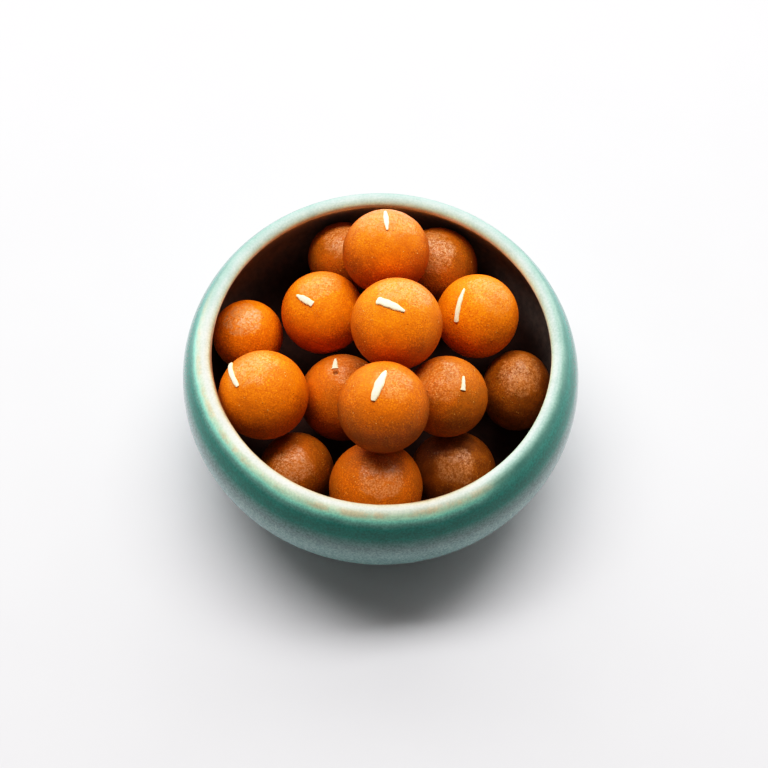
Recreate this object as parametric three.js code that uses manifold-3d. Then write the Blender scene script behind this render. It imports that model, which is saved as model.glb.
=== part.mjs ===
// A glazed stoneware bowl heaped with gulab jamun, some of them with a sliver of almond on top.
// Millimetres, +Z up. The origin is under the middle of the bowl's foot and the front faces -Y.

import * as THREE from "three";
import { mergeVertices } from "three/addons/utils/BufferGeometryUtils.js";
import Module from "manifold-3d";

const wasm = await Module();
wasm.setup();

// ---- The bowl: one wall thickness, bent round one arc from the floor up to the lip ----
const WALL = 6.4;
const BULGE_RADIUS = 39.2; // of the outside of the wall
const BULGE_REACH = 42.9; // from the axis to the middle of that arc
const LEAN_IN = 37; // degrees that the arc goes on above its widest point
const FOOT_HEIGHT = 4;
const FOOT_OUTER = 40; // radii of the foot ring
const FOOT_INNER = 34.5;
const FOOT_EDGE = 1; // bevel on both edges of the foot ring
const BOWL_SIDES = 72;
const OUTSIDE_STEPS = 11;
const LIP_STEPS = 4;
const INSIDE_STEPS = 9;

const BULGE_HEIGHT = FOOT_HEIGHT + BULGE_RADIUS;
const INSIDE_RADIUS = BULGE_RADIUS - WALL;

// ---- The jamuns ----
const GAP = 0.35; // left between neighbouring pieces
const JAMUN_DETAIL = 4; // subdivisions of an icosahedron, 500 faces
const UNEVEN = 0.03; // deepest dent, as a share of the radius

// Lowest first, as they were put in: how far right and back of the axis, and the diameter.
// A wedged one is held by its neighbours that far above where it would come to rest by itself,
// and a narrow one is an egg, thinner from left to right.
const JAMUNS = {
  front_left: { right: -33, back: -39, diameter: 31.5 },
  front_right: { right: 31.5, back: -38.5, diameter: 36 },
  right: { right: 57, back: -2.5, diameter: 34.5, narrow: 0.87 },
  left: { right: -57, back: 17.5, diameter: 30.5 },
  back_left: { right: -18, back: 56.5, diameter: 32 },
  back_right: { right: 22.5, back: 53, diameter: 35.5 },
  middle_left: { right: -15.5, back: -9, diameter: 37, wedged: 8 },
  front: { right: 0, back: -52.5, diameter: 38 },
  upper_left: { right: -47, back: -18.5, diameter: 37 },
  upper_right: { right: 39, back: 22, diameter: 35.5 },
  middle_right: { right: 27, back: -17, diameter: 33.5 },
  upper_back_left: { right: -25.5, back: 24, diameter: 35.5 },
  top_front: { right: 1.5, back: -32.5, diameter: 36.5 },
  top: { right: 5.5, back: 5, diameter: 37.5 },
  upper_back: { right: 0, back: 43, diameter: 36.5 },
};

// ---- The almond slivers ----
const SLIVER_RISE = 0.7; // above the skin
const SLIVER_SINK = 0.9; // into the syrupy skin
const SLIVER_STEPS = 4;

// Both ends of a sliver are places on its jamun: degrees down from the very top, and compass
// degrees round from the back towards the right. Widths run from one end to the other.
const SLIVERS = {
  upper_back: { from: [34, 354], to: [9, 2], widths: [0.7, 2.4, 1.7] },
  upper_back_left: { from: [36, 268], to: [22, 212], widths: [0.9, 2.9, 2.6] },
  top: { from: [26, 275], to: [16, 149], widths: [3.4, 3.2, 1.1] },
  upper_right: { from: [24, 297], to: [50, 224], widths: [0.8, 2.1, 2.1] },
  upper_left: { from: [62, 304], to: [33, 243], widths: [2.4, 2.2, 1.7] },
  middle_left: { from: [34, 341], to: [16, 320], widths: [0.8, 2, 3.2] },
  top_front: { from: [22, 3], to: [23, 214], widths: [0.9, 4.1, 1.9] },
  middle_right: { from: [20, 78], to: [26, 130], widths: [1, 1.6, 2.4] },
};

// A small pit just below the sliver of the middle left jamun, where a bubble burst in the frying.
const PIT = { on: "middle_left", at: [12, 308], radius: 1.4 };

// ---- Colours ----
const GLAZE = { color: 0x8cc0ae, roughness: 0.3, metalness: 0 };
const SYRUPY_SKIN = { color: 0xc4640c, roughness: 0.35, metalness: 0 };

const radians = THREE.MathUtils.degToRad;

// Points of an arc in a lathe profile, from one angle to another in degrees above level.
function arcPoints(reach, height, radius, fromDegrees, toDegrees, steps) {
  const points = [];
  for (let i = 0; i <= steps; i++) {
    const angle = radians(fromDegrees + ((toDegrees - fromDegrees) * i) / steps);
    points.push(
      new THREE.Vector2(reach + radius * Math.cos(angle), height + radius * Math.sin(angle)),
    );
  }
  return points;
}

function footPoints() {
  return [
    new THREE.Vector2(0, FOOT_HEIGHT),
    new THREE.Vector2(FOOT_INNER, FOOT_HEIGHT),
    new THREE.Vector2(FOOT_INNER, FOOT_EDGE),
    new THREE.Vector2(FOOT_INNER + FOOT_EDGE, 0),
    new THREE.Vector2(FOOT_OUTER - FOOT_EDGE, 0),
    new THREE.Vector2(FOOT_OUTER, FOOT_EDGE),
    new THREE.Vector2(FOOT_OUTER, FOOT_HEIGHT),
  ];
}

function bowlGeometry() {
  const middle = BULGE_RADIUS - WALL / 2;
  const lipReach = BULGE_REACH + middle * Math.cos(radians(LEAN_IN));
  const lipHeight = BULGE_HEIGHT + middle * Math.sin(radians(LEAN_IN));
  const outside = arcPoints(BULGE_REACH, BULGE_HEIGHT, BULGE_RADIUS, -90, LEAN_IN, OUTSIDE_STEPS);
  const lip = arcPoints(lipReach, lipHeight, WALL / 2, LEAN_IN, LEAN_IN + 180, LIP_STEPS);
  const inside = arcPoints(BULGE_REACH, BULGE_HEIGHT, INSIDE_RADIUS, LEAN_IN, -90, INSIDE_STEPS);
  const profile = [
    ...footPoints(),
    ...outside,
    ...lip.slice(1, -1),
    ...inside,
    new THREE.Vector2(0, BULGE_HEIGHT - INSIDE_RADIUS),
  ];
  return new THREE.LatheGeometry(profile, BOWL_SIDES).rotateX(Math.PI / 2);
}

// The lowest place where a ball let down at (x, y) touches the bowl or a ball already in it.
function restingHeight(x, y, radius, placed) {
  const clear = radius + GAP;
  const pastFloor = Math.max(Math.hypot(x, y) - BULGE_REACH, 0);
  const onBowl = BULGE_HEIGHT - Math.sqrt((INSIDE_RADIUS - clear) ** 2 - pastFloor ** 2);
  const onBalls = placed.map((ball) => {
    const reach = ball.radius + clear;
    const apart = Math.hypot(x - ball.centre.x, y - ball.centre.y);
    return apart < reach ? ball.centre.z + Math.sqrt(reach ** 2 - apart ** 2) : 0;
  });
  return Math.max(onBowl, ...onBalls);
}

function heapOfBalls() {
  const placed = [];
  for (const [name, jamun] of Object.entries(JAMUNS)) {
    const radius = jamun.diameter / 2;
    const height =
      restingHeight(jamun.right, jamun.back, radius, placed) + (jamun.wedged ?? 0);
    placed.push({
      name,
      radius,
      narrow: jamun.narrow ?? 1,
      centre: new THREE.Vector3(jamun.right, jamun.back, height),
    });
  }
  return placed;
}

// How far the skin is from the middle of a ball in a direction: soft dents, never a bulge, with
// their pattern shifted from ball to ball.
function skinRadius(direction, ball, order) {
  const dent =
    Math.sin(2.3 * direction.x + 1.9 * order) +
    Math.sin(2.7 * direction.y + 3.1 * order) +
    Math.sin(2.5 * direction.z + 4.3 * order);
  const across = direction.x * direction.x;
  return ball.radius * (1 - UNEVEN * (0.5 + dent / 6)) * (1 - (1 - ball.narrow) * across);
}

// A unit vector from degrees down from the top and compass degrees round from the back.
function place([down, round]) {
  return new THREE.Vector3(
    Math.sin(radians(down)) * Math.sin(radians(round)),
    Math.sin(radians(down)) * Math.cos(radians(round)),
    Math.cos(radians(down)),
  );
}

function ballGeometry(ball, order) {
  const geometry = new THREE.IcosahedronGeometry(1, JAMUN_DETAIL);
  const points = geometry.attributes.position;
  const point = new THREE.Vector3();
  for (let i = 0; i < points.count; i++) {
    point.fromBufferAttribute(points, i).normalize();
    point.multiplyScalar(skinRadius(point, ball, order));
    points.setXYZ(i, point.x, point.y, point.z);
  }
  return geometry;
}

// Width at a share of the length, between three widths at the start, the middle and the end.
function widthAt(share, [start, middle, end]) {
  return share < 0.5
    ? THREE.MathUtils.lerp(start, middle, 2 * share)
    : THREE.MathUtils.lerp(middle, end, 2 * share - 1);
}

// A box bent along the shortest way over the skin from one place to another.
function sliverGeometry(sliver, ball, order) {
  const from = place(sliver.from);
  const to = place(sliver.to);
  const side = new THREE.Vector3().crossVectors(from, to).normalize();
  const geometry = new THREE.BoxGeometry(1, 1, 1, SLIVER_STEPS, 1, 1);
  const points = geometry.attributes.position;
  for (let i = 0; i < points.count; i++) {
    const share = points.getX(i) + 0.5;
    const across = points.getY(i) * widthAt(share, sliver.widths);
    const lift = points.getZ(i) > 0 ? SLIVER_RISE : -SLIVER_SINK;
    const out = from.clone().applyAxisAngle(side, share * from.angleTo(to));
    const point = out.multiplyScalar(skinRadius(out, ball, order) + lift);
    point.addScaledVector(side, across);
    points.setXYZ(i, point.x, point.y, point.z);
  }
  return geometry;
}

function pitGeometry(ball, order) {
  const middle = place(PIT.at);
  middle.multiplyScalar(skinRadius(middle, ball, order));
  return new THREE.IcosahedronGeometry(PIT.radius, 1).translate(middle.x, middle.y, middle.z);
}

function toSolid(geometry) {
  const bare = new THREE.BufferGeometry();
  const loose = geometry.index ? geometry.toNonIndexed() : geometry;
  bare.setAttribute("position", loose.attributes.position);
  const merged = mergeVertices(bare, 1e-4);
  return new wasm.Manifold(
    new wasm.Mesh({
      numProp: 3,
      vertProperties: merged.attributes.position.array,
      triVerts: new Uint32Array(merged.index.array),
    }),
  );
}

function toGeometry(solid) {
  const mesh = solid.getMesh();
  const geometry = new THREE.BufferGeometry();
  geometry.setAttribute("position", new THREE.BufferAttribute(mesh.vertProperties, 3));
  geometry.setIndex(new THREE.BufferAttribute(mesh.triVerts, 1));
  geometry.computeVertexNormals();
  return geometry;
}

function jamunGeometry(ball, order) {
  let solid = toSolid(ballGeometry(ball, order));
  if (ball.name in SLIVERS) {
    solid = solid.add(toSolid(sliverGeometry(SLIVERS[ball.name], ball, order)));
  }
  if (ball.name === PIT.on) {
    solid = solid.subtract(toSolid(pitGeometry(ball, order)));
  }
  return toGeometry(solid);
}

function namedMesh(name, geometry, look) {
  const mesh = new THREE.Mesh(geometry, new THREE.MeshStandardMaterial(look));
  mesh.name = name;
  return mesh;
}

const gulabJamun = new THREE.Group();
gulabJamun.add(namedMesh("bowl", bowlGeometry(), GLAZE));

heapOfBalls().forEach((ball, order) => {
  const jamun = namedMesh(`jamun_${ball.name}`, jamunGeometry(ball, order), SYRUPY_SKIN);
  jamun.position.copy(ball.centre);
  gulabJamun.add(jamun);
});

export default gulabJamun;
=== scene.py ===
import math

import bmesh
import bpy
from bpy.props import FloatProperty, FloatVectorProperty, IntProperty, PointerProperty
from mathutils import Matrix, Vector
from mathutils.bvhtree import BVHTree


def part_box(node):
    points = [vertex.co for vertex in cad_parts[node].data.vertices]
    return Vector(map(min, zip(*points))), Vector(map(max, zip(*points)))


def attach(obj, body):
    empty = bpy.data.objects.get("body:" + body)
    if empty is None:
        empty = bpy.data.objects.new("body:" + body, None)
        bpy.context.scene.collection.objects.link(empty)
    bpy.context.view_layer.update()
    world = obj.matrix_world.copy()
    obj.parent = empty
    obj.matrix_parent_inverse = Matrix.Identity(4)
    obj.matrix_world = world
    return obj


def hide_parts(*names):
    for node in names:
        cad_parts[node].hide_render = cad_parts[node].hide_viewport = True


bl_info = {
    "name": "Gulab Jamun Bowl",
    "version": (1, 0, 0),
    "blender": (4, 5, 0),
    "location": "View3D > Sidebar > Gulab Jamun",
    "description": "A glazed stoneware bowl heaped with gulab jamun and almond slivers",
    "category": "Add Mesh",
}

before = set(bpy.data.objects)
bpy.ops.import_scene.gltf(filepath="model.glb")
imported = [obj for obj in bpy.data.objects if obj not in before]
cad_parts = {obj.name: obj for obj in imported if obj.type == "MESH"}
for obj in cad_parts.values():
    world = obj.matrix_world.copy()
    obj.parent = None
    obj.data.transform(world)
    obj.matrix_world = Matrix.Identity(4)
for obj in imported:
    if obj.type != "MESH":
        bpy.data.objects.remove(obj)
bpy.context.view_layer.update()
MM = 0.001
WELD = 0.001 * MM  # points nearer than this become one

# ---- The bowl's section, as in the part ----
BOWL_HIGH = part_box("bowl")[1]
WIDEST = BOWL_HIGH.x
BASE_LEVEL = 4 * MM  # underside of the bowl inside its foot ring
ARC_STEP = 2.0  # degrees between points of a rounded stretch
FOOT_BEVEL = 1 * MM

# ---- The dumplings, in the order they were put in ----
# How much browner than the palest one each was fried, and how much painted shade darkens its
# underside. Then
#  the patch that is wet with syrup, which a painted sheen also makes paler: its middle as degrees
#  down from the very top and compass degrees round from the back towards the right, its half width in
#  degrees, and how wet it is.
DUMPLINGS = {
    "front_left": ((0.8, 0.4), (16, 190), 30, 1.0),
    "front_right": ((1.2, 0.42), (11, 180), 27, 0.55),
    "right": ((1.2, 0.0), (3, 68), 34, 0.55),
    "left": ((0.1, -0.2), (6, 282), 32, 1.0),
    "back_left": ((0.8, 0.3), (1, 0), 34, 0.8),
    "back_right": ((0.9, 0.3), (15, 253), 36, 0.75),
    "middle_left": ((0.5, 0.8), (20, 26), 30, 0.5),
    "front": ((0.47, 0.3), (13, 153), 28, 0.7),
    "upper_left": ((0.15, 0.12), (25, 315), 34, 0.45),
    "upper_right": ((0.0, 0.05), (23, 63), 34, 0.35),
    "middle_right": ((0.72, -0.1), (15, 265), 36, 0.42),
    "upper_back_left": ((0.04, 0.6), (23, 345), 32, 0.4),
    "top_front": ((0.34, 0.7), (13, 66), 26, 0.35),
    "top": ((0.03, 0.5), (33, 21), 38, 0.42),
    "upper_back": ((0.22, 0.75), (29, 0), 42, 0.38),
}
NARROW = {"right": 0.87}  # an egg, thinner from left to right
# One wave of dents along each axis: its pitch, and how far it shifts from one to the next.
DENT_WAVES = ((2.3, 1.9), (2.7, 3.1), (2.5, 4.3))
WRINKLED_PATCH = 1 / 0.28  # size of the patches that are wrinkled most, in wrinkles

# ---- The almond slivers ----
# Both ends are places on the dumpling, as degrees down and round like the wet patches. Widths
# in millimetres run from one end to the other.
SLIVERS = {
    "upper_back": ((34, 354), (3, 175), (1.2, 2.3, 0.8)),
    "upper_back_left": ((36, 268), (22, 212), (0.9, 2.9, 2.6)),
    "top": ((26, 275), (16, 149), (3.4, 3.2, 1.1)),
    "upper_right": ((24, 297), (50, 224), (0.8, 2.1, 2.1)),
    "upper_left": ((62, 304), (33, 243), (2.4, 2.2, 1.7)),
    "middle_left": ((34, 341), (16, 320), (0.8, 2.0, 3.2)),
    "top_front": ((22, 3), (23, 214), (1.1, 3.6, 2.2)),
    "middle_right": ((20, 78), (26, 130), (1.0, 1.6, 2.4)),
}
PIT_ON = "middle_left"  # the one with a burst bubble
PIT_PLACE = (12, 308)

# ---- The view ----
PICTURE_SIDE = 768  # pixels
SENSOR_WIDTH = 36  # millimetres
LIP_CENTRE_PIXEL = (381.6, 343.8)  # where the middle of the lip stands in the picture


# ---- Settings ----


def number(name, description, default, **more):
    return FloatProperty(name=name, description=description, default=default, **more)


def length(name, description, default):
    return number(name, description, default, unit="LENGTH")


def angle(name, description, degrees):
    return number(name, description, math.radians(degrees), subtype="ANGLE")


def colour(name, description, default):
    return FloatVectorProperty(
        name=name, description=description, default=default, size=3, min=0, max=1, subtype="COLOR"
    )


class BowlSettings(bpy.types.PropertyGroup):
    wall: length("Wall", "Thickness of the wall", 6.4 * MM)
    bulge: length("Bulge Radius", "Radius of the arc outside the wall", 39.2 * MM)
    lean_in: angle("Lean In", "How far the wall goes on round above its widest point", 37)
    foot_outer: length("Foot Outer", "Outer radius of the foot ring", 40 * MM)
    foot_inner: length("Foot Inner", "Inner radius of the foot ring", 34.5 * MM)
    sides: IntProperty(name="Sides", description="Faces round the bowl", default=288, min=24)
    steps: IntProperty(name="Steps", description="Faces along the section", default=330, min=40)
    ripple: length("Ripple", "Depth of the throwing rings", 0.12 * MM)
    wander: length("Wander", "How far the glaze's bands run up and down", 3.6 * MM)
    deep: colour("Deep Glaze", "Glaze where it lies thick under the lip", (0.012, 0.21, 0.163))
    # The belly's grey is partly the glaze's own tone and partly a painted reflection of the pale
    # table.
    belly: colour("Belly Glaze", "Greyer glaze round the belly", (0.195, 0.32, 0.31))
    pale: colour("Pale Glaze", "Glaze on the lip", (0.3, 0.46, 0.39))
    tan: colour("Tan Glaze", "Glaze where it broke on the rim", (0.78, 0.6, 0.36))
    inside: colour("Inside Glaze", "Glaze inside the bowl", (0.25, 0.215, 0.195))
    clay: colour("Clay", "Bare clay of the foot", (0.38, 0.25, 0.16))


class DumplingSettings(bpy.types.PropertyGroup):
    faces: IntProperty(name="Faces", description="Faces along a side", default=60, min=8)
    unevenness: number(
        "Unevenness", "Deepest dent as a share of the radius", 0.03, min=0, max=1, subtype="FACTOR"
    )
    wrinkle: length("Wrinkle Depth", "Depth of the wrinkles in the skin", 0.1 * MM)
    wrinkle_size: length("Wrinkle Size", "Width of one wrinkle", 3.2 * MM)
    pit_radius: length("Pit Radius", "Radius of the burst bubble", 1.4 * MM)
    bright: colour("Bright Skin", "Skin where it was fried least", (0.97, 0.255, 0.003))
    golden: colour("Golden Skin", "Skin where it was fried a little more", (0.72, 0.174, 0.0032))
    brown: colour("Brown Skin", "Skin where it was fried most", (0.43, 0.125, 0.0068))
    # The dark skin is reached where heavy frying and the painted shade below add up; the soaked tint
    # is painted shade alone, on the undersides.
    dark: colour("Dark Skin", "Skin below, where syrup soaked in", (0.14, 0.037, 0.002))
    soaked: colour("Soaked", "What syrup that soaked in does to the skin", (0.68, 0.55, 0.4))
    # The wet patches are paler: partly the drying syrup's own tone, partly a painted sheen where the
    # tops catch the light.
    syrup_film_and_sheen: colour("Syrup Film", "Skin under drying syrup", (0.62, 0.295, 0.125))
    # The pale specks are partly grains of sugar and partly painted glints off the skin's grain.
    sugar: colour("Sugar", "Grains of sugar on the skin", (1.0, 0.55, 0.16))
    beads: number("Beads", "Beads of syrup on a square metre", 45000, min=0)
    bead: length("Bead Size", "Radius of the largest bead of syrup", 0.28 * MM)


class AlmondSettings(bpy.types.PropertyGroup):
    rise: length("Rise", "Height above the skin", 0.7 * MM)
    sink: length("Sink", "Depth in the skin", 0.9 * MM)
    kernel: colour("Kernel", "Cut face of the almond", (0.95, 0.87, 0.68))
    edge: colour("Edge", "Yellower rim of the almond", (0.88, 0.66, 0.32))


class StageSettings(bpy.types.PropertyGroup):
    distance: length("Distance", "From the camera to the middle of the lip", 0.6)
    elevation: angle("Elevation", "How steeply the camera looks down", 61.1)
    roll: angle("Roll", "How far the camera leans to the left", 2.47)
    focal: number("Focal Length", "Of a 36 mm sensor", 69.98, min=10)
    key: number("Key Light", "Power of the softbox", 16.4, min=0)
    window: number("Window", "Power of the window", 130.0, min=0)
    ceiling: number("Ceiling", "Power of its gleam", 24.0, min=0)
    sky: number("Room", "Strength of the room's light", 0.13, min=0)
    floor: colour("Floor", "Colour of the table", (0.7, 0.695, 0.712))


SETTINGS = {
    "gulab_bowl": BowlSettings,
    "gulab_dumpling": DumplingSettings,
    "gulab_almond": AlmondSettings,
    "gulab_stage": StageSettings,
}


# ---- Node trees ----


class Tree:
    """Adds nodes to a node tree. An input takes a value, or a socket or node to link it to."""

    def __init__(self, tree):
        self.tree = tree

    def add(self, kind, inputs=None, **settings):
        node = self.tree.nodes.new(kind)
        for name, value in settings.items():
            setattr(node, name, value)
        for name, value in (inputs or {}).items():
            self.feed(node.inputs[name], value)
        return node

    def feed(self, socket, value):
        if isinstance(value, bpy.types.Node):
            value = next(out for out in value.outputs if out.enabled)
        if isinstance(value, bpy.types.NodeSocket):
            self.tree.links.new(value, socket)
        elif socket.type == "RGBA":
            socket.default_value = (*value, 1)
        else:
            socket.default_value = value

    def math(self, operation, *values, clamp=False):
        inputs = dict(enumerate(values))
        return self.add("ShaderNodeMath", inputs, operation=operation, use_clamp=clamp)

    def line(self, value, slope, start, clamp=False):
        """value * slope + start"""
        return self.math("MULTIPLY_ADD", value, slope, start, clamp=clamp)

    def times(self, first, *others):
        """Multiplies numbers, from the first one on."""
        for other in others:
            first = self.math("MULTIPLY", first, other)
        return first

    def vector(self, operation, *values):
        return self.add("ShaderNodeVectorMath", dict(enumerate(values)), operation=operation)

    def scaled(self, vector, by):
        return self.add("ShaderNodeVectorMath", {0: vector, "Scale": by}, operation="SCALE")

    def blend(self, factor, first, second, way="MIX"):
        """Mixes two colours."""
        inputs = {0: factor, 6: first, 7: second}
        node = self.add("ShaderNodeMix", inputs, data_type="RGBA", blend_type=way)
        return node.outputs[2]

    def spread(self, value, low, high, to_low=0.0, to_high=1.0):
        """Maps low..high to to_low..to_high, smoothly and without going past either end."""
        inputs = {0: value, 1: low, 2: high, 3: to_low, 4: to_high}
        return self.add("ShaderNodeMapRange", inputs, interpolation_type="SMOOTHSTEP")

    def ramp(self, value, stops):
        """A colour ramp through (place, colour) stops."""
        node = self.add("ShaderNodeValToRGB", {"Fac": value})
        elements = node.color_ramp.elements
        elements.remove(elements[1])
        elements[0].position = stops[0][0]
        elements[0].color = (*stops[0][1], 1)
        for place, tone in stops[1:]:
            elements.new(place).color = (*tone, 1)
        return node.outputs["Color"]

    def mix(self, factor, first, second):
        """Mixes two numbers."""
        inputs = {0: factor, 2: first, 3: second}
        return self.add("ShaderNodeMix", inputs, data_type="FLOAT").outputs[0]

    def store(self, geometry, name, value, data_type="FLOAT", domain="POINT"):
        """Stores a named attribute on a geometry."""
        inputs = {"Geometry": geometry, "Name": name, "Value": value}
        kinds = {"data_type": data_type, "domain": domain}
        return self.add("GeometryNodeStoreNamedAttribute", inputs, **kinds)

    def noise(self, vector, size, detail=3.0, roughness=0.5):
        """Noise of about that size, which is a number or a socket."""
        scale = 1 / size if isinstance(size, float) else self.math("DIVIDE", 1, size)
        inputs = {"Vector": vector, "Scale": scale, "Detail": detail, "Roughness": roughness}
        return self.add("ShaderNodeTexNoise", inputs).outputs["Fac"]


FLOAT = "NodeSocketFloat"
COLOUR = "NodeSocketColor"
VECTOR = "NodeSocketVector"
GEOMETRY = "NodeSocketGeometry"
SOCKET_OF = {
    float: FLOAT,
    int: "NodeSocketInt",
    tuple: COLOUR,
    Vector: VECTOR,
    bpy.types.Material: "NodeSocketMaterial",
}


def new_group(name, inputs, outputs, kind="ShaderNodeTree"):
    """A node group with the named sockets: its tree, what it is given and what it puts out.
    An input comes with its default or, where it has none, with its socket's type."""
    tree = bpy.data.node_groups.new(name, kind)
    for socket, default in inputs.items():
        bare = isinstance(default, str)
        socket_type = default if bare else SOCKET_OF[type(default)]
        made = tree.interface.new_socket(socket, in_out="INPUT", socket_type=socket_type)
        if not bare:
            made.default_value = default
    for socket, socket_type in outputs.items():
        tree.interface.new_socket(socket, in_out="OUTPUT", socket_type=socket_type)
    made = Tree(tree)
    return made, made.add("NodeGroupInput").outputs, made.add("NodeGroupOutput").inputs


# ---- Shader effects that several materials share ----


def grain_group(name):
    """Fine relief over a coarser one, as a height."""
    inputs = {"Vector": VECTOR, "Fine Size": 0.5 * MM, "Coarse Size": 3 * MM, "Coarse Share": 0.5}
    tree, given, result = new_group(name, inputs, {"Height": FLOAT})
    fine = tree.noise(given["Vector"], given["Fine Size"], 3)
    coarse = tree.noise(given["Vector"], given["Coarse Size"], 2)
    tree.feed(result["Height"], tree.mix(given["Coarse Share"], fine, coarse))
    return tree.tree


def mottle_group(name):
    """Two tones in soft uneven patches."""
    inputs = {"Vector": VECTOR, "Size": 6 * MM, "Hardness": 0.5}
    inputs |= {"First": (1, 1, 1, 1), "Second": (0, 0, 0, 1)}
    outputs = {"Color": COLOUR, "Mask": FLOAT}
    tree, given, result = new_group(name, inputs, outputs)
    patches = tree.noise(given["Vector"], given["Size"], 5, 0.6)
    edge = tree.line(given["Hardness"], -0.22, 0.24)
    low = tree.math("SUBTRACT", 0.5, edge)
    high = tree.math("ADD", 0.5, edge)
    mask = tree.spread(patches, low, high)
    tree.feed(result["Mask"], mask)
    tree.feed(result["Color"], tree.blend(mask, given["First"], given["Second"]))
    return tree.tree


def speck_group(name):
    """Round specks of one size, on a share of the cells of a grid."""
    inputs = {"Vector": VECTOR, "Spacing": 2.5 * MM, "Size": 0.15, "Share": 0.5}
    tree, given, result = new_group(name, inputs, {"Mask": FLOAT})
    scale = tree.math("DIVIDE", 1, given["Spacing"])
    cells = tree.add("ShaderNodeTexVoronoi", {"Vector": given["Vector"], "Scale": scale})
    core = tree.times(given["Size"], 0.4)
    near = tree.spread(cells.outputs["Distance"], given["Size"], core)
    picked = tree.add("ShaderNodeSeparateColor", {0: cells.outputs["Color"]})
    kept = tree.math("LESS_THAN", picked.outputs["Red"], given["Share"])
    tree.feed(result["Mask"], tree.times(near, kept))
    return tree.tree


EFFECTS = {"Fine grain": grain_group, "Mottle": mottle_group, "Specks": speck_group}


class Paint(Tree):
    """A material's nodes. Its even values are set on the Principled BSDF's own sockets."""

    def __init__(self, name, **even):
        self.material = bpy.data.materials.new(name)
        self.material.use_nodes = True
        super().__init__(self.material.node_tree)
        self.shader = self.tree.nodes["Principled BSDF"].inputs
        for socket, value in even.items():
            self.shader[socket.replace("_", " ")].default_value = value
        self.place = self.add("ShaderNodeTexCoord").outputs["Object"]

    def set(self, socket, value):
        self.feed(self.shader[socket], value)

    def attribute(self, name):
        return self.add("ShaderNodeAttribute", attribute_name=name).outputs["Fac"]

    def effect(self, name, **inputs):
        """Places a shared effect, and builds it first where it isn't there yet."""
        group = bpy.data.node_groups.get(name) or EFFECTS[name](name)
        node = self.add("ShaderNodeGroup", node_tree=group)
        for socket, value in {"Vector": self.place, **inputs}.items():
            self.feed(node.inputs[socket.replace("_", " ")], value)
        return node.outputs

    def mottle(self, size, hardness, *tones):
        """Two tones in patches, or the mask of the patches alone."""
        toned = dict(zip(("First", "Second"), tones))
        return self.effect("Mottle", Size=size, Hardness=hardness, **toned)

    def emboss(self, height, strength, distance):
        """Gives the surface the slopes of a height."""
        inputs = {"Strength": strength, "Distance": distance, "Height": height}
        self.set("Normal", self.add("ShaderNodeBump", inputs))


# ---- Materials ----

GLAZE_GRAIN = {"Fine_Size": 0.6 * MM, "Coarse_Size": 5 * MM, "Coarse_Share": 0.6}
SKIN_GRAIN = {"Fine_Size": 0.5 * MM, "Coarse_Size": 1.8 * MM, "Coarse_Share": 0.35}
ALMOND_GRAIN = {"Fine_Size": 0.25 * MM, "Coarse_Size": 0.9 * MM, "Coarse_Share": 0.5}
BROKEN_TAN = 0.6  # how tan the glaze breaks along the rim
DARKEST = 1.6  # how fried the darkest skin is, with the painted shade below counted in, where 1 is brown


def glaze_bands(settings, creamy):
    """The glaze's colours by how far they lie from the lip's crown, in millimetres: outside the
    bowl below 0, inside it above 0. The lip is mint, and creamy on one side."""
    deep = Vector(settings.deep)
    pale = Vector(settings.pale)
    belly = Vector(settings.belly)
    # lighter and greyer down the belly: a painted reflection of the pale table, over the glaze's own
    # greyer tone
    outside = (
        (-60, belly * 1.3),
        (-38, belly * 1.65),
        (-30, belly * 1.5),
        (-25, belly * 1.3),
        (-21, belly * 0.97),
        (-17.3, belly.lerp(deep, 0.5)),
        (-14.6, deep * 1.08),
        (-11.9, deep * 0.9),
        (-9.1, deep * 1.1),
    )
    cream = (
        (-7.1, deep.lerp(pale, 0.35) * 1.15),
        (-5.2, (0.3, 0.79, 0.61)),
        (-4.0, (0.57, 0.93, 0.69)),
        (-2.6, (0.66, 0.88, 0.63)),
        (-1.2, (0.65, 0.72, 0.58)),
        (0.1, (0.62, 0.65, 0.56)),
        (1.0, (0.62, 0.61, 0.5)),
        (1.9, (0.64, 0.57, 0.42)),
        (2.4, (0.56, 0.5, 0.34)),
        (2.9, (0.5, 0.41, 0.23)),
        (3.5, (0.33, 0.165, 0.1)),
        (4.6, (0.3, 0.18, 0.1)),
        (5.8, (0.28, 0.17, 0.1)),
    )
    mint = (
        (-7.1, deep.lerp(pale, 0.05) * 1.25),
        (-5.0, deep.lerp(pale, 0.2)),
        (-3.6, deep.lerp(pale, 0.4)),
        (-2.4, deep.lerp(pale, 0.75)),
        (-1.2, pale),
        (0.0, (0.4, 0.54, 0.48)),
        (1.0, (0.5, 0.63, 0.56)),
        (1.9, (0.57, 0.72, 0.63)),
        (2.9, (0.63, 0.81, 0.67)),
        (3.7, (0.76, 0.92, 0.66)),
        (4.6, (0.94, 0.97, 0.8)),
        (5.7, (0.92, 0.97, 0.88)),
        (7.0, (0.82, 0.9, 0.86)),
    )
    inside = (
        (11, (0.62, 0.62, 0.58)),
        (15, (0.54, 0.56, 0.57)),
        (21, (0.33, 0.33, 0.33)),
        (26, settings.inside),
    )
    stops = outside + (cream if creamy else mint) + inside
    return [(0.5 + 0.5 * at * MM / GLAZE_REACH, tone) for at, tone in stops]


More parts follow.
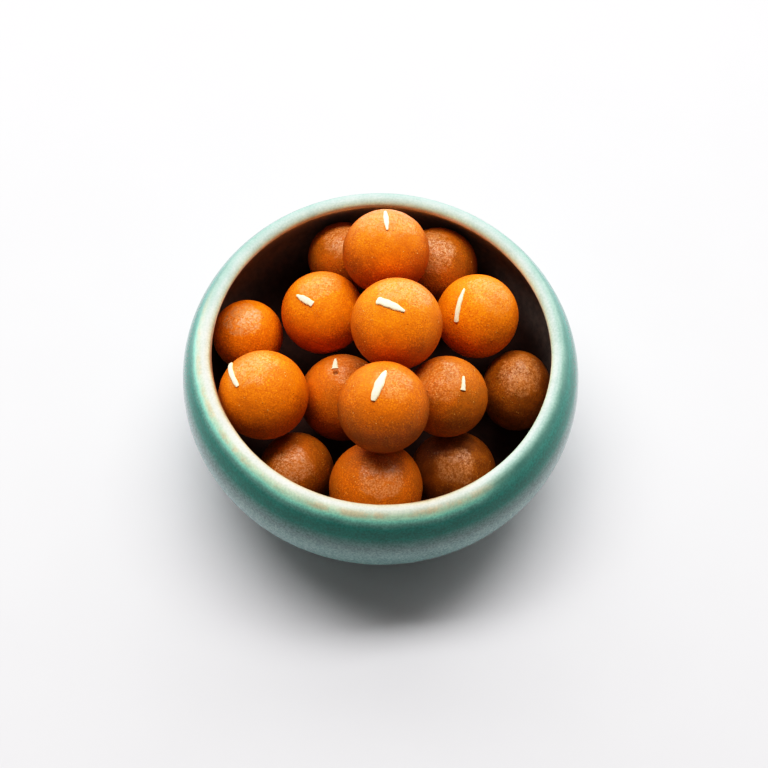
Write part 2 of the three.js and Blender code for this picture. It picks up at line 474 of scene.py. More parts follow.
def glaze_material(settings):
    """Green glaze that breaks pale and tan over the lip, greyer inside, with bare clay below."""
    tree = Paint("celadon_glaze", Specular_IOR_Level=0.32, Coat_Weight=0.1, Coat_Roughness=0.06)
    place = tree.place
    from_crown = tree.attribute("from_crown")
    wide = tree.math("SUBTRACT", tree.noise(place, 55 * MM, 2), 0.5)
    near = tree.math("SUBTRACT", tree.noise(place, 9 * MM, 3, 0.6), 0.5)
    finer = tree.times(near, settings.wander * 0.45)
    wander = tree.line(wide, settings.wander, finer)
    band = tree.math("ADD", from_crown, wander)
    factor = tree.math("DIVIDE", band, GLAZE_REACH)
    factor = tree.line(factor, 0.5, 0.5, clamp=True)
    side = tree.vector("DOT_PRODUCT", place, CREAMY_SIDE).outputs["Value"]
    side = tree.line(wide, CREAMY_WANDER, side)
    creamy = tree.spread(side, 0, CREAMY_EDGE)
    ramps = [tree.ramp(factor, glaze_bands(settings, is_creamy)) for is_creamy in (False, True)]
    bands = tree.blend(creamy, *ramps)

    # where the glaze ran thin just outside the crown, it broke tan in streaks along the rim
    streaks = tree.spread(tree.noise(place, 9 * MM, 6, 0.7), 0.42, 0.62)
    above = tree.spread(from_crown, -4.6 * MM, -3.2 * MM)
    below = tree.spread(from_crown, -0.4 * MM, -2.0 * MM)
    tan = tree.times(streaks, tree.times(above, below), BROKEN_TAN, creamy)
    bands = tree.blend(tan, bands, settings.tan)

    speckle = tree.mottle(0.85 * MM, 0.25, (0.62, 0.69, 0.69), (1.33, 1.26, 1.25))
    clouds = tree.mottle(7 * MM, 0.0, (0.9, 0.92, 0.92), (1.08, 1.06, 1.06))
    strength = tree.spread(from_crown, -3.5 * MM, -9 * MM, 0.35, 0.9)
    coloured = tree.blend(strength, bands, speckle["Color"], "MULTIPLY")
    coloured = tree.blend(1.0, coloured, clouds["Color"], "MULTIPLY")
    bare = tree.spread(band, BARE_FROM, BARE_FROM - BARE_EDGE)
    clay = tree.mottle(2.5 * MM, 0.2, settings.clay, Vector(settings.clay) * 0.72)
    tree.set("Base Color", tree.blend(bare, coloured, clay["Color"]))
    satin = tree.spread(speckle["Mask"], 0, 1, 0.14, 0.24)
    inside = tree.spread(from_crown, 5 * MM, 16 * MM, 0, 0.55)
    tree.set("Roughness", tree.mix(bare, tree.math("ADD", satin, inside), 0.85))
    tree.emboss(tree.effect("Fine grain", **GLAZE_GRAIN)["Height"], 0.25, 0.1 * MM)
    return tree.material


def inside_material(settings):
    """The dull dark glaze deep inside the bowl, painted darker still towards the bottom as shade
    under the dumplings.
    """
    tree = Paint("dark_inside_glaze", Specular_IOR_Level=0.05)
    dull = tree.mottle(3 * MM, 0.2, (0.8, 0.8, 0.8), (1.2, 1.15, 1.1))
    from_crown = tree.attribute("from_crown")
    # painted shade: darker the deeper inside, where the dumplings shade the bowl
    depth = tree.spread(from_crown, INSIDE_FROM + 4 * MM, INSIDE_FROM + 24 * MM)
    tone = tree.blend(depth, settings.inside, (0.055, 0.026, 0.02))
    tree.set("Base Color", tree.blend(1.0, tone, dull["Color"], "MULTIPLY"))
    tree.set("Roughness", tree.spread(dull["Mask"], 0, 1, 0.7, 0.85))
    tree.emboss(tree.effect("Fine grain", **GLAZE_GRAIN)["Height"], 0.3, 0.1 * MM)
    return tree.material


def skin_material(settings):
    """Fried skin soaked in syrup: orange to brown and darker below, where shade is painted in, finely
    grained, wetter
     and paler in patches with a painted sheen, with dark pores and pale specks that are partly grains
     of sugar and partly painted glints."""
    tree = Paint(
        "syrupy_skin",
        Specular_IOR_Level=0.22,
        Subsurface_Weight=0.02,
        Subsurface_Radius=(1.0, 0.4, 0.15),
        Subsurface_Scale=1.2 * MM,
        Coat_Roughness=0.22,
    )
    place = tree.place
    ragged = tree.line(tree.noise(place, 6 * MM, 8, 0.75), 1.5, -0.75)
    wet = tree.spread(tree.math("ADD", tree.attribute("wet_place"), ragged), 0.4, 0.66)
    broken = tree.spread(tree.noise(place, 1.3 * MM, 4, 0.7), 0.4, 0.56, 0.25, 1.25)
    wet = tree.times(wet, broken, tree.attribute("wetness"))
    patches = tree.mottle(7 * MM, 0.3)["Mask"]
    flecks = tree.math("POWER", tree.mottle(0.65 * MM, 0.3)["Mask"], 2.5)
    grainy = tree.blend(flecks, (0.85, 0.77, 0.7), (1.33, 1.52, 1.95))
    browner = tree.line(patches, 0.3, -0.07)
    brown = tree.math("ADD", browner, tree.attribute("fried"))
    # wet patches are less brown: the syrup in part, painted sheen in part
    brown = tree.line(wet, -0.2, brown)
    brown = tree.math("DIVIDE", brown, DARKEST, clamp=True)
    shades = (
        (0, settings.bright),
        (0.45 / DARKEST, settings.golden),
        (1 / DARKEST, settings.brown),
        (1, settings.dark),
    )
    tone = tree.ramp(brown, shades)
    # painted shade: the skin gets darker and redder towards its underside
    tone = tree.blend(tree.attribute("soaked"), tone, settings.soaked, "MULTIPLY")
    # paler peach where wet: the syrup's tone in part, a painted sheen in part
    tone = tree.blend(tree.times(wet, 0.5), tone, settings.syrup_film_and_sheen)
    crumbly = tree.spread(tree.noise(place, 9 * MM, 3), 0.36, 0.62, 0.5, 1)
    tone = tree.blend(crumbly, tone, grainy, "MULTIPLY")
    pores = tree.effect("Specks", Spacing=2.3 * MM, Size=0.14, Share=0.35)["Mask"]
    # pale specks: grains of sugar in part, painted glints in part
    crusted = tree.spread(tree.noise(place, 6 * MM, 2), 0.45, 0.62, 0.04, 0.6)
    sugar = tree.effect("Specks", Spacing=1.1 * MM, Size=0.24, Share=crusted)["Mask"]
    tone = tree.blend(tree.times(pores, 0.5), tone, (0.16, 0.03, 0.004))
    pale = tree.blend(brown, settings.sugar, Vector(settings.sugar) * 0.6)
    tone = tree.blend(tree.times(sugar, 0.5), tone, pale)
    tree.set("Base Color", tone)
    tree.set("Roughness", tree.spread(wet, 0, 1, 0.5, 0.36))
    tree.set("Coat Weight", wet)
    # where it is wet, the syrup fills the finest grain
    bare = tree.line(wet, -0.75, 1, clamp=True)
    relief = tree.effect("Fine grain", **SKIN_GRAIN)["Height"]
    height = tree.times(tree.math("SUBTRACT", relief, 0.5), bare)
    height = tree.line(pores, -0.7, height)
    height = tree.line(sugar, 0.45, height)
    tree.emboss(height, 1.0, 0.42 * MM)
    return tree.material


def almond_material(settings):
    """Cut almond: cream, yellower towards its rim and a little uneven."""
    tree = Paint(
        "cut_almond",
        Subsurface_Weight=0.15,
        Subsurface_Radius=(1.0, 0.8, 0.5),
        Subsurface_Scale=1.0 * MM,
    )
    tone = tree.blend(tree.attribute("rim"), settings.kernel, settings.edge)
    uneven = tree.mottle(0.7 * MM, 0.1, (0.93, 0.9, 0.84), (1.05, 1.05, 1.05))
    tree.set("Base Color", tree.blend(1.0, tone, uneven["Color"], "MULTIPLY"))
    relief = tree.effect("Fine grain", **ALMOND_GRAIN)["Height"]
    tree.set("Roughness", tree.spread(relief, 0.3, 0.7, 0.4, 0.6))
    tree.emboss(relief, 0.4, 0.12 * MM)
    return tree.material


def syrup_material():
    """Beads of sugar syrup, which dried a little cloudy."""
    tree = Paint("sugar_syrup", Coat_Weight=0.8, Coat_Roughness=0.08, Subsurface_Weight=0.2)
    cloud = tree.mottle(4 * MM, 0.2, (0.95, 0.42, 0.07), (1.0, 0.62, 0.22))
    tree.set("Base Color", cloud["Color"])
    tree.set("Roughness", tree.spread(cloud["Mask"], 0, 1, 0.12, 0.25))
    return tree.material


def table_material(settings):
    """The table's plain pale top."""
    tree = Paint("pale_table")
    paper = tree.mottle(60 * MM, 0, settings.floor, Vector(settings.floor) * 0.985)
    tree.set("Base Color", paper["Color"])
    tree.set("Roughness", tree.spread(paper["Mask"], 0, 1, 0.6, 0.66))
    return tree.material


# ---- Shared steps ----


def scene_settings(name):
    return getattr(bpy.context.scene, name)


def new_object(name, data):
    made = bpy.data.objects.new(name, data)
    bpy.context.scene.collection.objects.link(made)
    return made


def built(build, name):
    """What was built, as a mesh."""
    mesh = bpy.data.meshes.new(name)
    build.to_mesh(mesh)
    build.free()
    return mesh


def grown(name, tree, values, source=None):
    """The plain mesh object that a Geometry Nodes tree makes from a source mesh."""
    base = new_object("seed", source or bpy.data.meshes.new("seed"))
    modifier = base.modifiers.new("grow", "NODES")
    modifier.node_group = tree
    for item in tree.interface.items_tree:
        if item.item_type == "SOCKET" and item.in_out == "INPUT" and item.name in values:
            modifier[item.identifier] = values[item.name]
    depsgraph = bpy.context.evaluated_depsgraph_get()
    mesh = bpy.data.meshes.new_from_object(
        base.evaluated_get(depsgraph), preserve_all_data_layers=True, depsgraph=depsgraph
    )
    base.modifiers.remove(modifier)
    bpy.data.objects.remove(base)
    if not mesh.polygons:
        raise RuntimeError(name + " came out empty")
    mesh.name = name
    return new_object(name, mesh)


def hand_over(piece, slot, *nodes):
    """Hangs the finished piece on the root body, and hides the solids that it stands for."""
    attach(piece, "root")
    if nodes:
        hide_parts(*nodes)


# ---- The bowl ----

GLAZE_REACH = 60 * MM  # of the colour bands, on either side of the lip's crown
CREAMY_SIDE = (-0.55, -0.83, 0)  # where the lip is creamy rather than mint
CREAMY_WANDER = 90 * MM  # how far the edge between the two wanders
CREAMY_EDGE = 62 * MM  # how wide it is
BARE_FROM = -86 * MM  # where the glaze stops above the foot
BARE_EDGE = 1.2 * MM  # how wide the glaze's lower edge is
INSIDE_FROM = 26 * MM  # where the dull dark glaze starts


def arc(reach, height, radius, start, end):
    """Points of an arc of the section, from one angle above level to another."""
    steps = max(2, round(abs(end - start) / ARC_STEP))
    for i in range(steps + 1):
        turn = math.radians(start + (end - start) * i / steps)
        yield (reach + radius * math.cos(turn), height + radius * math.sin(turn))


def bowl_section(settings):
    """The section's points from the axis under the bowl to the axis inside it, and which of
    them is the crown of the lip."""
    reach = WIDEST - settings.bulge
    level = BASE_LEVEL + settings.bulge
    lean = math.degrees(settings.lean_in)
    middle = settings.bulge - settings.wall / 2
    lip_reach = reach + middle * math.cos(settings.lean_in)
    lip_level = level + middle * math.sin(settings.lean_in)
    inner, outer = settings.foot_inner, settings.foot_outer
    foot = [
        (0, BASE_LEVEL),
        (inner, BASE_LEVEL),
        (inner, FOOT_BEVEL),
        (inner + FOOT_BEVEL, 0),
        (outer - FOOT_BEVEL, 0),
        (outer, FOOT_BEVEL),
        (outer, BASE_LEVEL),
    ]
    outside = list(arc(reach, level, settings.bulge, -90, lean))
    before_crown = list(arc(lip_reach, lip_level, settings.wall / 2, lean, 90))
    after_crown = list(arc(lip_reach, lip_level, settings.wall / 2, 90, lean + 180))
    inside = list(arc(reach, level, settings.bulge - settings.wall, lean, -90))
    points = foot + outside + before_crown[1:]
    crown = len(points) - 1
    points += after_crown[1:] + inside[1:] + [(0, inside[-1][1])]
    return points, crown


def section_mesh(settings):
    """The section as a chain of edges whose points know how far they are from the crown."""
    points, crown = bowl_section(settings)
    mesh = bpy.data.meshes.new("bowl_section")
    edges = [(i, i + 1) for i in range(len(points) - 1)]
    mesh.from_pydata([(x, 0, z) for x, z in points], edges, [])
    travelled = [0.0]
    for first, second in zip(points, points[1:]):
        travelled.append(travelled[-1] + math.dist(first, second))
    values = mesh.attributes.new("from_crown", "FLOAT", "POINT")
    values.data.foreach_set("value", [t - travelled[crown] for t in travelled])
    return mesh


def wheel_tree(values):
    """Turns a section round the axis as a potter's wheel does, with faint throwing rings."""
    inputs = {"Section": GEOMETRY, **values}
    outputs = {"Bowl": GEOMETRY}
    tree, given, result = new_group("Potter's wheel", inputs, outputs, "GeometryNodeTree")
    section = tree.add("GeometryNodeMeshToCurve", {"Mesh": given["Section"]})
    columns = tree.math("ADD", given["Sides"], 1)
    rows = tree.math("ADD", given["Steps"], 1)
    grid = {"Size X": 1.0, "Size Y": 1.0, "Vertices X": columns, "Vertices Y": rows}
    sheet = tree.add("GeometryNodeMeshGrid", grid).outputs
    mapped = tree.store(sheet["Mesh"], "OFBake", sheet["UV Map"], "FLOAT2", "CORNER")
    at = tree.add("ShaderNodeSeparateXYZ", {0: tree.add("GeometryNodeInputPosition")})
    turn = tree.times(tree.math("ADD", at.outputs["X"], 0.5), 2 * math.pi)
    along = tree.math("ADD", at.outputs["Y"], 0.5)
    level = tree.add("GeometryNodeInputNamedAttribute", {"Name": "from_crown"}, data_type="FLOAT")
    level = level.outputs["Attribute"]
    spot = {"Curves": section, "Value": level, "Factor": along}
    sample = tree.add("GeometryNodeSampleCurve", spot, mode="FACTOR", data_type="FLOAT").outputs
    spin = {"Vector": sample["Position"], "Angle": turn}
    placed = tree.add("ShaderNodeVectorRotate", spin, rotation_type="Z_AXIS")
    stored = tree.store(mapped, "from_crown", sample["Value"])
    turned = tree.add("GeometryNodeSetPosition", {"Geometry": stored, "Position": placed})
    closed = tree.add("GeometryNodeMergeByDistance", {"Geometry": turned, "Distance": WELD})
    squeezed = tree.vector("MULTIPLY", tree.add("GeometryNodeInputPosition"), (1, 1, 5))
    rings = tree.noise(squeezed, 22 * MM, 2)
    inwards = tree.times(rings, given["Ripple"], -1)
    offset = tree.scaled(tree.add("GeometryNodeInputNormal"), inwards)
    relief = tree.add("GeometryNodeSetPosition", {"Geometry": closed, "Offset": offset})
    glazed = finish(tree, relief, given["Material"])
    levels = {"A": level, "B": given["Inside From"]}
    deep = tree.add("FunctionNodeCompare", levels, data_type="FLOAT", operation="GREATER_THAN")
    lining = {"Geometry": glazed, "Selection": deep, "Material": given["Inside Material"]}
    tree.feed(result["Bowl"], tree.add("GeometryNodeSetMaterial", lining))
    return tree.tree


def finish(tree, geometry, material):
    """Makes a tree's result one smooth plain mesh of one material."""
    real = tree.add("GeometryNodeRealizeInstances", {"Geometry": geometry})
    smooth = tree.add("GeometryNodeSetShadeSmooth", {"Geometry": real, "Shade Smooth": True})
    return tree.add("GeometryNodeSetMaterial", {"Geometry": smooth, "Material": material})


class GULAB_OT_turn_bowl(bpy.types.Operator):
    """Turn the bowl from its section and glaze it"""

    bl_idname = "gulab.turn_bowl"
    bl_label = "Turn Bowl"

    def execute(self, context):
        settings = scene_settings("gulab_bowl")
        values = {
            "Sides": settings.sides,
            "Steps": settings.steps,
            "Ripple": settings.ripple,
            "Material": glaze_material(settings),
            "Inside From": INSIDE_FROM,
            "Inside Material": inside_material(settings),
        }
        bowl = grown("glazed_bowl", wheel_tree(values), values, section_mesh(settings))
        hand_over(bowl, "glaze", "bowl")
        return {"FINISHED"}


# ---- The dumplings ----


def dent_share(direction, order, settings):
    """The skin's distance from the middle in a direction, as a share of the radius."""
    waves = zip(direction, DENT_WAVES)
    dent = sum(math.sin(pitch * part + shift * order) for part, (pitch, shift) in waves)
    return 1 - settings.unevenness * (0.5 + dent / 6)


def ball_of(name, settings):
    """The middle and radius of a dumpling, from the box of its solid."""
    low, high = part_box("jamun_" + name)
    order = list(DUMPLINGS).index(name)
    ways = ((0, -1, 0), (0, 1, 0), (-1, 0, 0), (1, 0, 0), (0, 0, -1))
    shares = [dent_share(way, order, settings) for way in ways]
    to_front, to_back, to_left, to_right, down = shares
    radius = (high.y - low.y) / (to_front + to_back)
    across = low.x + (high.x - low.x) * to_left / (to_left + to_right)
    middle = Vector((across, low.y + radius * to_front, low.z + radius * down))
    return middle, radius, order, NARROW.get(name, 1.0)


def direction_to(place):
    """A unit vector from degrees down from the top and compass degrees round from the back."""
    down, around = map(math.radians, place)
    level = math.sin(down)
    return Vector((level * math.sin(around), level * math.cos(around), math.cos(down)))


def dumpling_tree(values):
    """A ball with soft dents, wrinkled patches and, where its depth isn't 0, one burst bubble."""
    outputs = {"Dumpling": GEOMETRY}
    tree, given, result = new_group("Rolled dumpling", values, outputs, "GeometryNodeTree")
    corners = tree.math("ADD", given["Faces"], 1)
    cube = {"Size": (2, 2, 2)} | {"Vertices " + axis: corners for axis in "XYZ"}
    block = tree.add("GeometryNodeMeshCube", cube).outputs
    mapped = tree.store(block["Mesh"], "OFBake", block["UV Map"], "FLOAT2", "CORNER")
    # evens out the squares of the cube before it is blown up to a ball
    turn = tree.scaled(tree.add("GeometryNodeInputPosition"), math.pi / 4)
    eased = tree.vector("DIVIDE", tree.vector("SINE", turn), tree.vector("COSINE", turn))
    out = tree.vector("NORMALIZE", eased)
    parts = tree.add("ShaderNodeSeparateXYZ", {0: out})
    dent = 0.0
    for axis, (pitch, shift) in zip("XYZ", DENT_WAVES):
        phase = tree.times(given["Order"], shift)
        wave = tree.math("SINE", tree.line(parts.outputs[axis], pitch, phase))
        dent = tree.math("ADD", dent, wave)
    depth = tree.times(tree.line(dent, 1 / 6, 0.5), given["Unevenness"])
    across = tree.times(parts.outputs["X"], parts.outputs["X"])
    pinch = tree.times(tree.math("SUBTRACT", 1, given["Narrow"]), across)
    reach = tree.times(given["Radius"], tree.math("SUBTRACT", 1, depth))
    reach = tree.times(reach, tree.math("SUBTRACT", 1, pinch))
    on_skin = tree.vector("ADD", tree.scaled(out, reach), given["Middle"])

    wrinkles = tree.noise(on_skin, given["Wrinkle Size"], 4, 0.55)
    patch = tree.times(given["Wrinkle Size"], WRINKLED_PATCH)
    where = tree.spread(tree.noise(on_skin, patch, 2), 0.38, 0.62, 0.25, 1)
    relief = tree.times(tree.math("SUBTRACT", wrinkles, 0.5), where)
    relief = tree.times(relief, tree.times(given["Wrinkle Depth"], 2.6))
    pit_middle = tree.scaled(given["Pit"], given["Radius"])
    from_pit = tree.vector("DISTANCE", tree.scaled(out, given["Radius"]), pit_middle)
    pit_floor = tree.times(given["Pit Radius"], 0.25)
    hollow = tree.spread(from_pit.outputs["Value"], given["Pit Radius"], pit_floor)
    relief = tree.math("SUBTRACT", relief, tree.times(hollow, given["Pit Depth"]))
    final = tree.vector("ADD", on_skin, tree.scaled(out, relief))
    # these are stored on the cube, because its places are what the directions come from
    # painted shade: the skin is browner and darker the further down it faces
    below = tree.times(tree.spread(parts.outputs["Z"], 0.85, 0.0), given["Underside Shade"])
    facing = tree.vector("DOT_PRODUCT", out, given["Wet Middle"]).outputs["Value"]
    off_middle = tree.math("DIVIDE", tree.math("ARCCOSINE", facing), given["Wet Reach"])
    depth_share = tree.math("DIVIDE", given["Pit Depth"], given["Pit Radius"])
    # painted shade: the skin is browner inside the hollow of the pit
    burst = tree.times(hollow, depth_share)
    painted_shade_below = tree.line(below, 0.5, given["Fried"])
    kept = {
        "fried": tree.math("ADD", painted_shade_below, burst),
        "soaked": below,
        "wet_place": tree.spread(off_middle, 1.8, 0.2),
        "wetness": given["Wetness"],
    }
    for name, value in kept.items():
        mapped = tree.store(mapped, name, value)
    rolled = tree.add("GeometryNodeSetPosition", {"Geometry": mapped, "Position": final})
    joined = tree.add("GeometryNodeMergeByDistance", {"Geometry": rolled, "Distance": WELD})
    tree.feed(result["Dumpling"], finish(tree, joined, given["Material"]))
    return tree.tree


def rolled_values(name, settings, skin):
    """What the tree is given for one of the dumplings."""
    middle, radius, order, narrow = ball_of(name, settings)
    (fried, underside), wet_middle, wet_reach, wetness = DUMPLINGS[name]
    return {
        "Middle": middle,
        "Radius": radius,
        "Narrow": narrow,
        "Faces": settings.faces,
        "Unevenness": settings.unevenness,
        "Order": float(order),
        "Wrinkle Depth": settings.wrinkle,
        "Wrinkle Size": settings.wrinkle_size,
        "Pit": direction_to(PIT_PLACE),
        "Pit Radius": settings.pit_radius,
        "Pit Depth": settings.pit_radius * (name == PIT_ON),
        "Fried": fried,
        "Underside Shade": underside,
        "Wet Middle": direction_to(wet_middle),
        "Wet Reach": math.radians(wet_reach),
        "Wetness": wetness,
        "Material": skin,
    }


class GULAB_OT_roll_dumplings(bpy.types.Operator):
    """Roll each dumpling where its solid lies"""

    bl_idname = "gulab.roll_dumplings"
    bl_label = "Roll Dumplings"

    def execute(self, context):
        settings = scene_settings("gulab_dumpling")
        skin = skin_material(settings)
        every = {name: rolled_values(name, settings, skin) for name in DUMPLINGS}
        tree = dumpling_tree(every["front_left"])
        for name, values in every.items():
            dumpling = grown("dumpling_" + name, tree, values)
            hand_over(dumpling, "syrupy_skin", "jamun_" + name)
        return {"FINISHED"}


# ---- The almond slivers ----

SLIVER_STATIONS = 24  # along a sliver
# its section, as shares of its width and height
SLIVER_LEFT = (-0.5, 0), (-0.5, 0.72), (-0.43, 0.9), (-0.28, 1.0)
SLIVER_RIGHT = (0.26, 0.97), (0.42, 0.86), (0.5, 0.66), (0.5, 0)
ROUNDED_END = 0.12  # share of half a sliver over which it narrows to a rounded end
BLUNT_END = 0.7  # width of the very end as a share of the width before it
WAVER = 0.07  # how much the width wavers, as a share of it
WAVES = 19  # radians of it along a sliver


def skin_finder(name, middle):
    """A function from a direction to the place where the skin lies in it."""
    depsgraph = bpy.context.evaluated_depsgraph_get()
    shape = BVHTree.FromObject(bpy.data.objects["dumpling_" + name], depsgraph)

    def find(direction):
        hit = shape.ray_cast(middle, direction)[0]
        if hit is None:
            raise RuntimeError("no skin found on " + name)
        return hit

    return find


def width_at(at, widths):
    """Smoothly from the width at one end over the middle's to the other's, with rounded ends."""
    start, half, end = widths
    from_middle = abs(2 * at - 1)
    width = half + ((start if at < 0.5 else end) - half) * from_middle**1.6
    past = max(0.0, from_middle - (1 - ROUNDED_END)) / ROUNDED_END
    return width * (BLUNT_END + (1 - BLUNT_END) * math.sqrt(1 - past**2))


def add_sliver(build, rims, find, sliver, settings):
    """A strip bent over the skin along the shortest way between its two ends."""
    first, last = direction_to(sliver[0]), direction_to(sliver[1])
    turn = first.angle(last)
    side = first.cross(last).normalized()
    rings = []
    for i in range(SLIVER_STATIONS + 1):
        at = (1 - math.cos(math.pi * i / SLIVER_STATIONS)) / 2
        out = Matrix.Rotation(turn * at, 3, side) @ first
        foot = find(out) - out * settings.sink
        high = settings.sink + settings.rise
        waver = 1 + WAVER * math.sin(WAVES * at + turn * 40)
        width = width_at(at, sliver[2]) * MM * waver
        ring = []
        for across, up in SLIVER_LEFT + SLIVER_RIGHT:
            vertex = build.verts.new(foot + side * (across * width) + out * (up * high))
            vertex[rims] = min(1, (2 * across) ** 2 * 0.7 + 0.5 * (1 - up))
            ring.append(vertex)
        rings.append(ring)
    for one, other in zip(rings, rings[1:]):
        count = len(one)
        for k in range(count):
            after = (k + 1) % count
            build.faces.new((one[k], one[after], other[after], other[k])).smooth = True
    build.faces.new(rings[0])
    build.faces.new(list(reversed(rings[-1])))


class GULAB_OT_lay_slivers(bpy.types.Operator):
    """Lay an almond sliver on top of some of the dumplings"""

    bl_idname = "gulab.lay_slivers"
    bl_label = "Lay Almond Slivers"

    def execute(self, context):
        settings = scene_settings("gulab_almond")
        build = bmesh.new()
        rims = build.verts.layers.float.new("rim")
        for name, sliver in SLIVERS.items():
            middle = ball_of(name, scene_settings("gulab_dumpling"))[0]
            add_sliver(build, rims, skin_finder(name, middle), sliver, settings)
        bmesh.ops.recalc_face_normals(build, faces=build.faces)
        mesh = built(build, "almond_slivers")
        mesh.materials.append(almond_material(settings))
        slivers = new_object("almond_slivers", mesh)
        hand_over(slivers, "almond")
        return {"FINISHED"}


# ---- Beads of syrup ----

BEAD_SEED = 7  # of where the beads lie
SIZE_SEED = 3  # of how large each one is


def beads_tree(values):
    """Scatters flat beads over the skin that looks up, each on the skin's own slope."""
    inputs = {"Skin": GEOMETRY, **values}
    outputs = {"Beads": GEOMETRY}
    tree, given, result = new_group("Beads of syrup", inputs, outputs, "GeometryNodeTree")
    slope = tree.add("ShaderNodeSeparateXYZ", {0: tree.add("GeometryNodeInputNormal")})
    clusters = tree.noise(tree.add("GeometryNodeInputPosition"), 7 * MM, 2)
    upwards = tree.spread(slope.outputs["Z"], -0.3, 0.4)
    density = tree.times(upwards, tree.spread(clusters, 0.42, 0.62), given["Density"])
    scatter = {"Mesh": given["Skin"], "Density": density, "Seed": given["Seed"]}
    spots = tree.add("GeometryNodeDistributePointsOnFaces", scatter).outputs
    drop = tree.add("GeometryNodeMeshIcoSphere", {"Radius": 1.0, "Subdivisions": 2})
    flat = {"Geometry": drop.outputs["Mesh"], "Scale": (1.0, 1.0, 0.55)}
    flat = tree.add("GeometryNodeTransform", flat)
    draw = {"Min": 0.25, "Max": 1.0, "Seed": SIZE_SEED}
    size = tree.add("FunctionNodeRandomValue", draw, data_type="FLOAT").outputs["Value"]
    size = tree.times(tree.math("POWER", size, 2.0), given["Size"])
    bead = {"Points": spots["Points"], "Instance": flat, "Rotation": spots["Rotation"], "Scale": size}
    beads = tree.add("GeometryNodeInstanceOnPoints", bead)
    tree.feed(result["Beads"], finish(tree, beads, given["Material"]))
    return tree.tree


class GULAB_OT_dot_syrup(bpy.types.Operator):
    """Dot the dumplings with small beads of syrup"""

    bl_idname = "gulab.dot_syrup"
    bl_label = "Dot With Syrup"

    def execute(self, context):
        settings = scene_settings("gulab_dumpling")
        skins = bmesh.new()
        for name in DUMPLINGS:
            skins.from_mesh(bpy.data.objects["dumpling_" + name].data)
        source = built(skins, "skins")
        values = {"Density": settings.beads, "Size": settings.bead, "Seed": BEAD_SEED}
        values["Material"] = syrup_material()
        beads = grown("syrup_beads", beads_tree(values), values, source)
        hand_over(beads, "syrupy_skin")
        return {"FINISHED"}


# ---- The stage ----

TABLE_SIDE = 4.2
KEY_PLACE = Vector((-0.06, 0.37, 1.2))
KEY_SIZE = (1.55, 0.3)
WINDOW_PLACE = Vector((-0.1, 2.2, 1.4))
WINDOW_SIZE = (7.0, 2.8)
ROOM_TINT = (1.06, 0.94, 0.91)
ROOM_SEEN = 0.9  # how bright the room itself shows
CEILING_PLACE = Vector((0, 0.8, 2.4))
CEILING_SIZE = (4.0, 1.5)
# Linear brightness, and what it becomes in the picture; black and white stay.
PRINT_CURVE = ((0.02, 0.0125), (0.08, 0.071), (0.22, 0.24), (0.5, 0.6), (0.78, 0.89))


def aim(obj, at):
    return (at - obj.location).to_track_quat("-Z", "Y")


def add_camera(settings):
    """The camera, turned so that the middle of the lip stands at its place in the picture."""
    data = bpy.data.cameras.new("camera")
    data.sensor_width = SENSOR_WIDTH
    data.lens = settings.focal
    camera = new_object("camera", data)
    target = Vector((0, 0, BOWL_HIGH.z))
    camera.location = target + settings.distance * Vector(
        (0, -math.cos(settings.elevation), math.sin(settings.elevation))
    )
    focal = settings.focal / data.sensor_width * PICTURE_SIDE
    half = (PICTURE_SIDE - 1) / 2
    seen = Vector(
        ((LIP_CENTRE_PIXEL[0] - half) / focal, (half - LIP_CENTRE_PIXEL[1]) / focal, -1)
    )
    camera.rotation_mode = "QUATERNION"
    camera.rotation_quaternion = (
        aim(camera, target)
        @ Matrix.Rotation(settings.roll, 3, "Z").to_quaternion()
        @ seen.rotation_difference(Vector((0, 0, -1)))
    )
    bpy.context.scene.camera = camera


def add_area_light(name, place, at, size, power):
    data = bpy.data.lights.new(name, "AREA")
    data.shape = "RECTANGLE"
    data.size, data.size_y = size
    data.energy = power
    light = new_object(name, data)
    light.location = place
    light.rotation_mode = "QUATERNION"
    light.rotation_quaternion = aim(light, at)
    light.visible_camera = False
    return light


def light_bowl(settings):
    """A wide window behind the bowl, a narrow softbox above it that no gloss shows, and a
    gleam from above that only the gloss shows."""
    level_ahead = Vector((WINDOW_PLACE.x, 0, WINDOW_PLACE.z))
    add_area_light("window", WINDOW_PLACE, level_ahead, WINDOW_SIZE, settings.window)
    middle = Vector((0, 0, BOWL_HIGH.z / 2))
    key = add_area_light("key", KEY_PLACE, middle, KEY_SIZE, settings.key)
    key.visible_glossy = False
    ceiling = add_area_light("ceiling", CEILING_PLACE, middle, CEILING_SIZE, settings.ceiling)
    ceiling.visible_diffuse = False


def add_table(settings):
    build = bmesh.new()
    bmesh.ops.create_grid(build, x_segments=1, y_segments=1, size=TABLE_SIDE / 2)
    mesh = built(build, "table")
    mesh.materials.append(table_material(settings))
    new_object("table", mesh)


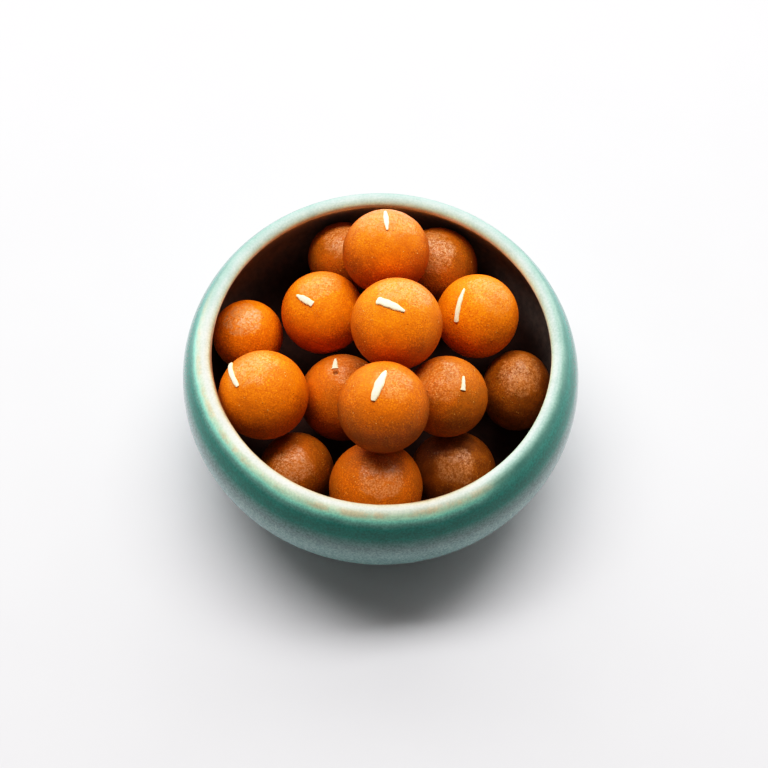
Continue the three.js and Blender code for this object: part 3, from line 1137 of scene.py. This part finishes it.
def light_room(settings):
    """Dim light from the room, which itself shows pale."""
    world = bpy.data.worlds.new("room")
    world.use_nodes = True
    tree = Tree(world.node_tree)
    background = world.node_tree.nodes["Background"].inputs
    tree.feed(background["Color"], ROOM_TINT)
    seen = tree.add("ShaderNodeLightPath").outputs["Is Camera Ray"]
    tree.feed(background["Strength"], tree.mix(seen, settings.sky, ROOM_SEEN))
    bpy.context.scene.world = world


def develop(view):
    """A plain view of the colours with a little more contrast, as a printed picture has."""
    view.view_transform = "Standard"
    view.use_curve_mapping = True
    curves = view.curve_mapping
    for shade, print_shade in PRINT_CURVE:
        curves.curves[3].points.new(shade, print_shade)
    curves.update()


class GULAB_OT_set_stage(bpy.types.Operator):
    """Set up the table, the light and the camera"""

    bl_idname = "gulab.set_stage"
    bl_label = "Set Stage"

    def execute(self, context):
        settings = scene_settings("gulab_stage")
        add_table(settings)
        light_bowl(settings)
        light_room(settings)
        add_camera(settings)
        develop(context.scene.view_settings)
        return {"FINISHED"}


# ---- Panel and registration ----


class GULAB_PT_panel(bpy.types.Panel):
    bl_label = "Gulab Jamun"
    bl_space_type = "VIEW_3D"
    bl_region_type = "UI"
    bl_category = "Gulab Jamun"

    def draw(self, context):
        for name, group in SETTINGS.items():
            box = self.layout.box()
            for setting in group.__annotations__:
                box.prop(getattr(context.scene, name), setting)
        for operator in OPERATORS:
            self.layout.operator(operator.bl_idname)


OPERATORS = (
    GULAB_OT_turn_bowl,
    GULAB_OT_roll_dumplings,
    GULAB_OT_lay_slivers,
    GULAB_OT_dot_syrup,
    GULAB_OT_set_stage,
)
CLASSES = (*SETTINGS.values(), *OPERATORS, GULAB_PT_panel)


def register():
    for cls in CLASSES:
        bpy.utils.register_class(cls)
    for name, group in SETTINGS.items():
        setattr(bpy.types.Scene, name, PointerProperty(type=group))


def unregister():
    for name in SETTINGS:
        delattr(bpy.types.Scene, name)
    for cls in reversed(CLASSES):
        bpy.utils.unregister_class(cls)


def main():
    register()
    bpy.ops.gulab.turn_bowl()
    bpy.ops.gulab.roll_dumplings()
    bpy.ops.gulab.lay_slivers()
    bpy.ops.gulab.dot_syrup()
    bpy.ops.gulab.set_stage()


if __name__ == "__main__":
    main()
